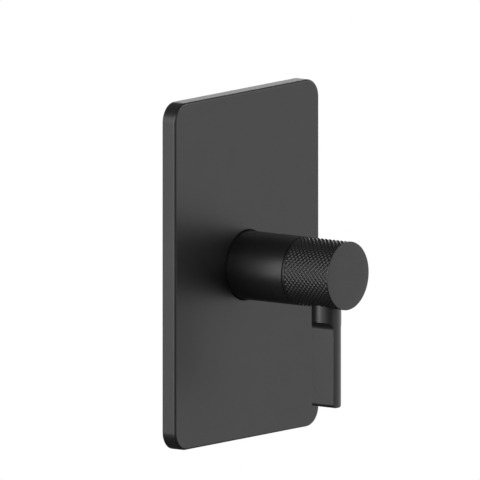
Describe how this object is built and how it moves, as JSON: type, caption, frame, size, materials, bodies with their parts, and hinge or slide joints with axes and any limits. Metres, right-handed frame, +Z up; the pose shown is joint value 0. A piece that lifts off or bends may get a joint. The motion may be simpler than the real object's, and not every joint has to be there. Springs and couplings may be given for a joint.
{
  "type": "concealed mixer tap",
  "caption": "Wall plate with a round sleeve, a knurled knob and a flattened pin lever that turns a ceramic-disc cartridge in a brass block behind the wall.",
  "frame": {"origin": "on the cartridge axis, in the plane of the finished wall, which the back of the cover plate rests on", "axes": "+X to the right as the user sees it, +Y into the wall, +Z up; the knob points along -Y and the lever hangs along -Z"},
  "size_m": [0.15, 0.1252, 0.22],
  "materials": {
    "satin_black": "satin black coating",
    "black_plastic": "turned bearing plastic",
    "grey_plastic": "moulded",
    "cartridge_plastic": "moulded",
    "white_plastic": "smooth",
    "red_plastic": "moulded",
    "rubber": "matt",
    "brass": "turned",
    "steel": "plain",
    "ceramic": "lapped"
  },
  "bodies": {
    "fixed_unit": {"cover_plate": "satin_black", "sealing_cord": "rubber", "carrier": "grey_plastic", "wall_screws": "steel", "grommets": "rubber", "sleeve": "satin_black", "collar_seal": "rubber", "sleeve_o_rings": "rubber", "guide_ring": "black_plastic", "valve_block": "brass", "fixing_screws": "steel", "port_seals": "rubber", "cartridge_base": "cartridge_plastic", "base_seals": "rubber", "fixed_disc": "ceramic", "cartridge_housing": "cartridge_plastic", "housing_o_ring": "rubber", "retaining_nut": "brass"},
    "handle": {"moving_disc": "ceramic", "disc_driver": "grey_plastic", "stem": "brass", "stem_o_rings": "rubber", "glide_washer": "white_plastic", "stop_ring": "red_plastic", "adapter": "brass", "adapter_screw": "steel", "knob": "satin_black", "grub_screw": "steel", "lever_stud": "steel", "lever": "satin_black"}
  },
  "joints": [
    {"name": "handle_turn", "type": "hinge", "parent": "fixed_unit", "child": "handle", "pos_m": [0, -0.072, 0], "axis": [0, -1, 0], "range_deg": [0, 120]}
  ]
}
